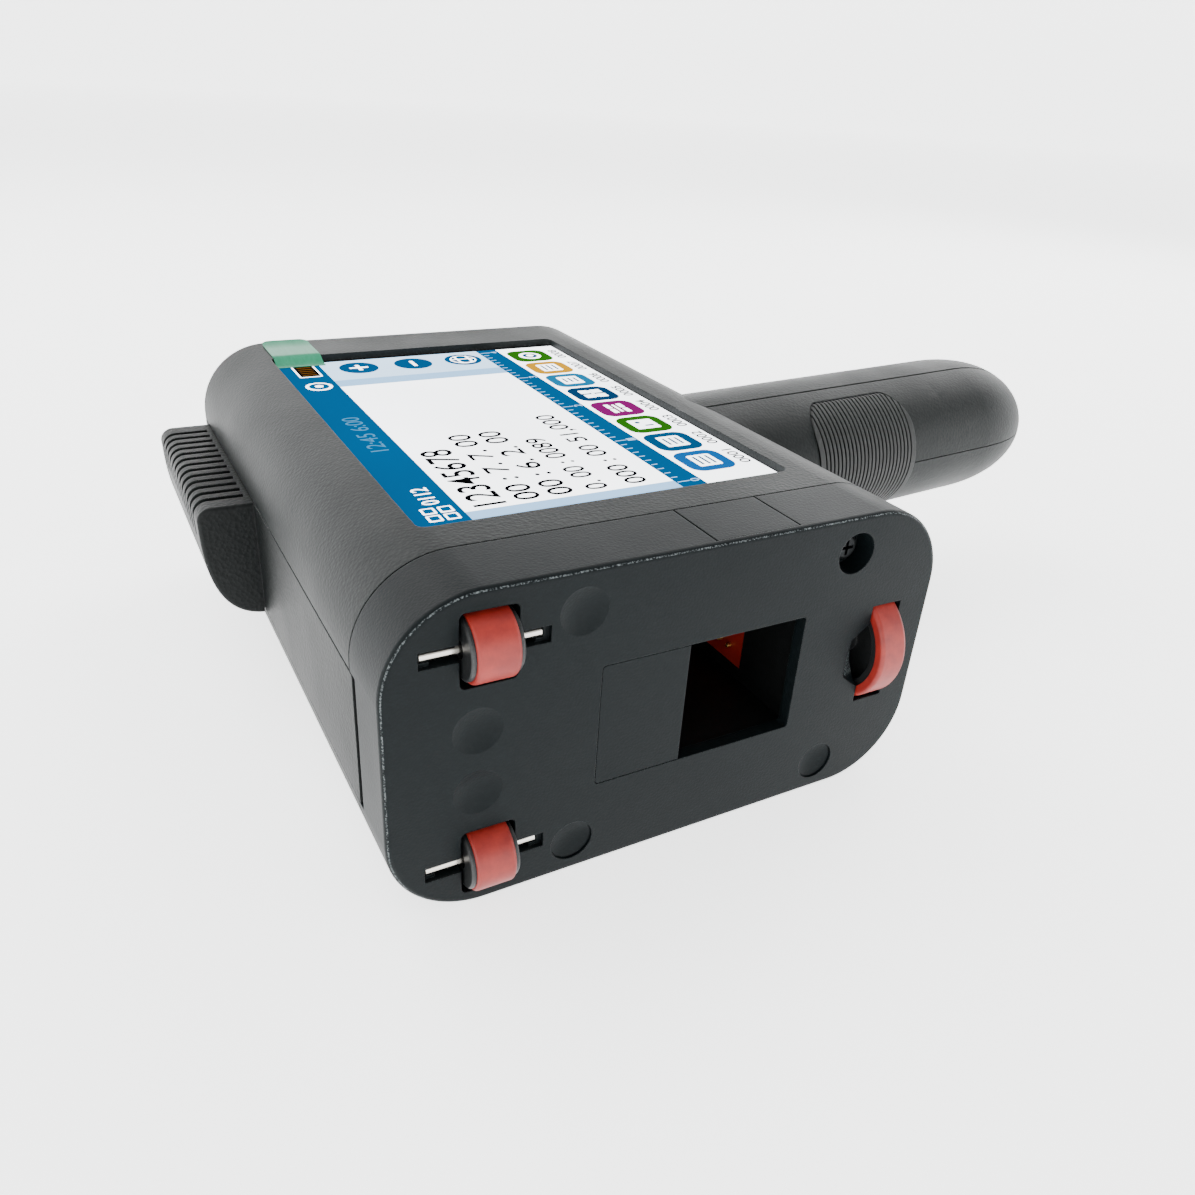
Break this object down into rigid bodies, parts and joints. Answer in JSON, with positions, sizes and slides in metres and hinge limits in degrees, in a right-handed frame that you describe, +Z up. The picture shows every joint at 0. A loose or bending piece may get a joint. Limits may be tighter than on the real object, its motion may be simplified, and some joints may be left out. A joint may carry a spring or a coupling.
{
  "type": "date code inkjet printer",
  "caption": "Handheld thermal inkjet date coder with touch screen, sliding cartridge cover, guide rollers, encoder wheel and side handle.",
  "frame": {"origin": "centre of the flat back face that the coder rests on", "axes": "+Z up through the touch screen, -Y out of the print face, +X along the handle"},
  "size_m": [0.2593, 0.1737, 0.0688],
  "materials": {
    "shell_abs": "fine spark-eroded texture, charcoal",
    "cap_abs": "smooth satin, charcoal",
    "plug_abs": "satin",
    "tyre_silicone": "matt coral red silicone rubber",
    "hub_acetal": "satin acetal",
    "pin_steel": "bright ground steel",
    "screw_steel": "zinc plated",
    "inner_abs": "black, satin",
    "board_red": "red solder mask",
    "board_green": "green solder mask",
    "contact_gold": "gold plated",
    "chip_epoxy": "moulded epoxy",
    "screen_glass": "clear cover glass, black printed edge",
    "lcd": "lit display panel",
    "steel_sheet": "galvanised sheet",
    "film_green": "tinted polyester film",
    "grip_rubber": "ribbed thermoplastic rubber",
    "battery_sleeve": "heat shrink sleeve",
    "spring_steel": "spring wire",
    "ribbon": "polyimide",
    "magnet_ferrite": "ferrite",
    "usb_steel": "tin plated"
  },
  "bodies": {
    "housing": {"upper_shell": "shell_abs", "lower_shell": "shell_abs", "front_cap": "cap_abs", "window_blank": "cap_abs", "screw_plugs": "plug_abs", "cap_screws": "screw_steel", "shell_screws": "screw_steel", "roller_pins": "pin_steel", "encoder_bracket": "inner_abs", "encoder_sensor": "board_green", "cartridge_cradle": "inner_abs", "contact_board": "board_red", "pin_block": "inner_abs", "ribbon_cable": "ribbon", "touch_glass": "screen_glass", "lcd_panel": "lcd", "display_carrier": "steel_sheet", "display_screws": "screw_steel", "film_tab": "film_green", "main_board": "board_green", "board_chips": "chip_epoxy", "board_screws": "screw_steel", "buzzer": "chip_epoxy", "port_board": "board_green", "usb_shell": "usb_steel", "usb_tongue": "inner_abs", "dc_jack": "inner_abs", "dc_pin": "pin_steel", "power_switch": "inner_abs", "grip_pads": "grip_rubber", "trigger_bracket": "inner_abs", "trigger_switch": "inner_abs", "trigger_spring": "spring_steel", "battery_cells": "battery_sleeve", "battery_holder": "inner_abs"},
    "roller_lower": {"roller_hub_lower": "hub_acetal", "roller_tyre_lower": "tyre_silicone"},
    "roller_upper": {"roller_hub_upper": "hub_acetal", "roller_tyre_upper": "tyre_silicone"},
    "encoder_wheel": {"encoder_hub": "hub_acetal", "encoder_tyre": "tyre_silicone", "encoder_axle": "pin_steel", "encoder_magnet": "magnet_ferrite"},
    "cover": {"cartridge_cover": "shell_abs"},
    "snap_tab": {"release_tab": "cap_abs"},
    "contacts": {"contact_pins": "contact_gold"},
    "trigger_lever": {"trigger": "inner_abs"},
    "power_key": {"power_button": "inner_abs"}
  },
  "joints": [
    {"name": "roller_lower_spin", "type": "hinge", "parent": "housing", "child": "roller_lower", "pos_m": [-0.0428, -0.0822, 0.0105], "axis": [1, 0, 0], "continuous": true},
    {"name": "roller_upper_spin", "type": "hinge", "parent": "housing", "child": "roller_upper", "pos_m": [-0.0428, -0.0822, 0.0573], "axis": [1, 0, 0], "continuous": true},
    {"name": "encoder_spin", "type": "hinge", "parent": "housing", "child": "encoder_wheel", "pos_m": [0.05, -0.0753, 0.034], "axis": [1, 0, 0], "continuous": true},
    {"name": "cover_slide", "type": "slide", "parent": "housing", "child": "cover", "axis": [0, 1, 0], "range_m": [0, 0.066]},
    {"name": "snap_tab_press", "type": "hinge", "parent": "housing", "child": "snap_tab", "pos_m": [0.0129, -0.0818, 0.0662], "axis": [1, 0, 0], "range_deg": [-5, 0], "stiffness_Nm_per_rad": 0.5},
    {"name": "contacts_press", "type": "slide", "parent": "housing", "child": "contacts", "axis": [1, 0, 0], "range_m": [0, 0.0008], "stiffness_N_per_m": 4000},
    {"name": "trigger_pull", "type": "slide", "parent": "housing", "child": "trigger_lever", "axis": [0.0872, -0.9962, 0], "range_m": [0, 0.003], "stiffness_N_per_m": 900},
    {"name": "power_press", "type": "slide", "parent": "housing", "child": "power_key", "axis": [0, -1, 0], "range_m": [0, 0.001], "stiffness_N_per_m": 1500}
  ]
}
